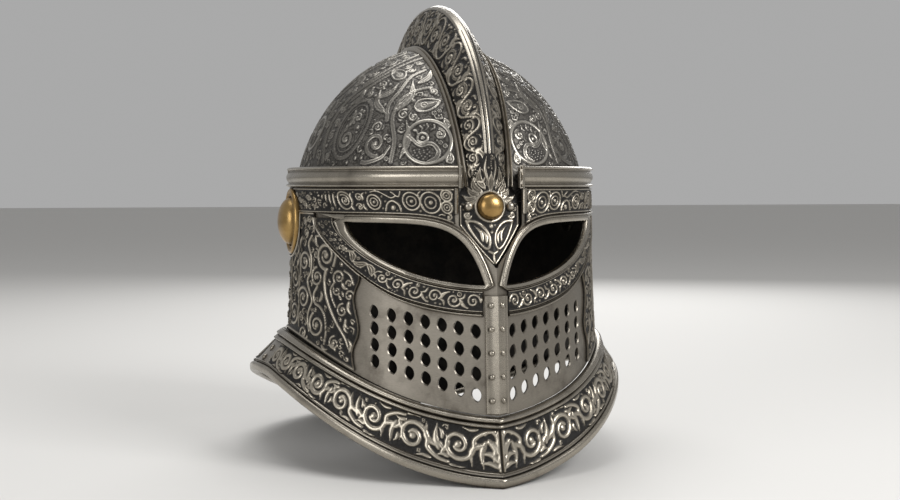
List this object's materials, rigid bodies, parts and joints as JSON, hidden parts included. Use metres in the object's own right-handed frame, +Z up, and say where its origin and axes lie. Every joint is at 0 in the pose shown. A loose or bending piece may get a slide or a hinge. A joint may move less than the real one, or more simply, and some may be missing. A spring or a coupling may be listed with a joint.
{
  "type": "knight's close helmet",
  "caption": "Combed steel helmet with a pierced, keeled visor that lifts on temple pivots, a flared gorget with a rolled edge, relief panels, gilt bosses and a quilted lining.",
  "frame": {"origin": "middle of the footprint, at the level of the rolled edge's lowest faces", "axes": "front of the helmet faces -Y, +Z up the comb, +X towards the wearer's left"},
  "size_m": [0.268, 0.3354, 0.322],
  "materials": {
    "polished_steel": "antique silver-grey, polished on the high places",
    "relief_steel": "light relief on a blackened ground",
    "gilt": "worn gilding",
    "leather": "dark brown, dull",
    "quilt": "undyed quilted linen"
  },
  "bodies": {
    "helmet": {"skull": "polished_steel", "comb": "relief_steel", "comb_rib_right": "polished_steel", "comb_rib_left": "polished_steel", "rear_band_right": "polished_steel", "rear_band_left": "polished_steel", "brow_plate": "relief_steel", "brow_boss": "gilt", "brow_beads": "polished_steel", "pivot_bolt_right": "polished_steel", "pivot_bolt_left": "polished_steel", "pivot_boss_right": "gilt", "pivot_boss_left": "gilt", "gorget_front": "polished_steel", "gorget_rear": "polished_steel", "collar_front": "polished_steel", "collar_rear": "polished_steel", "gorget_frieze_right": "relief_steel", "gorget_frieze_left": "relief_steel", "gorget_frieze_rear": "relief_steel", "edge_front": "polished_steel", "edge_rear": "polished_steel", "gorget_rivets": "polished_steel", "lining_band": "leather", "lining_cap": "quilt", "lining_rivets": "polished_steel"},
    "visor": {"visor": "polished_steel", "brow_band_right": "polished_steel", "brow_band_left": "polished_steel", "brow_frieze_right": "relief_steel", "brow_frieze_left": "relief_steel", "eye_rim_right": "polished_steel", "eye_rim_left": "polished_steel", "under_eye_right": "relief_steel", "under_eye_left": "relief_steel", "cheek_panel_right": "relief_steel", "cheek_panel_left": "relief_steel", "keel_strip": "polished_steel", "keel_rivets": "polished_steel", "pivot_ring_right": "gilt", "pivot_ring_left": "gilt"}
  },
  "joints": [
    {"name": "visor_lift", "type": "hinge", "parent": "helmet", "child": "visor", "pos_m": [0, -0.00784, 0.165], "axis": [-1, 0, 0], "range_deg": [0, 45]}
  ]
}
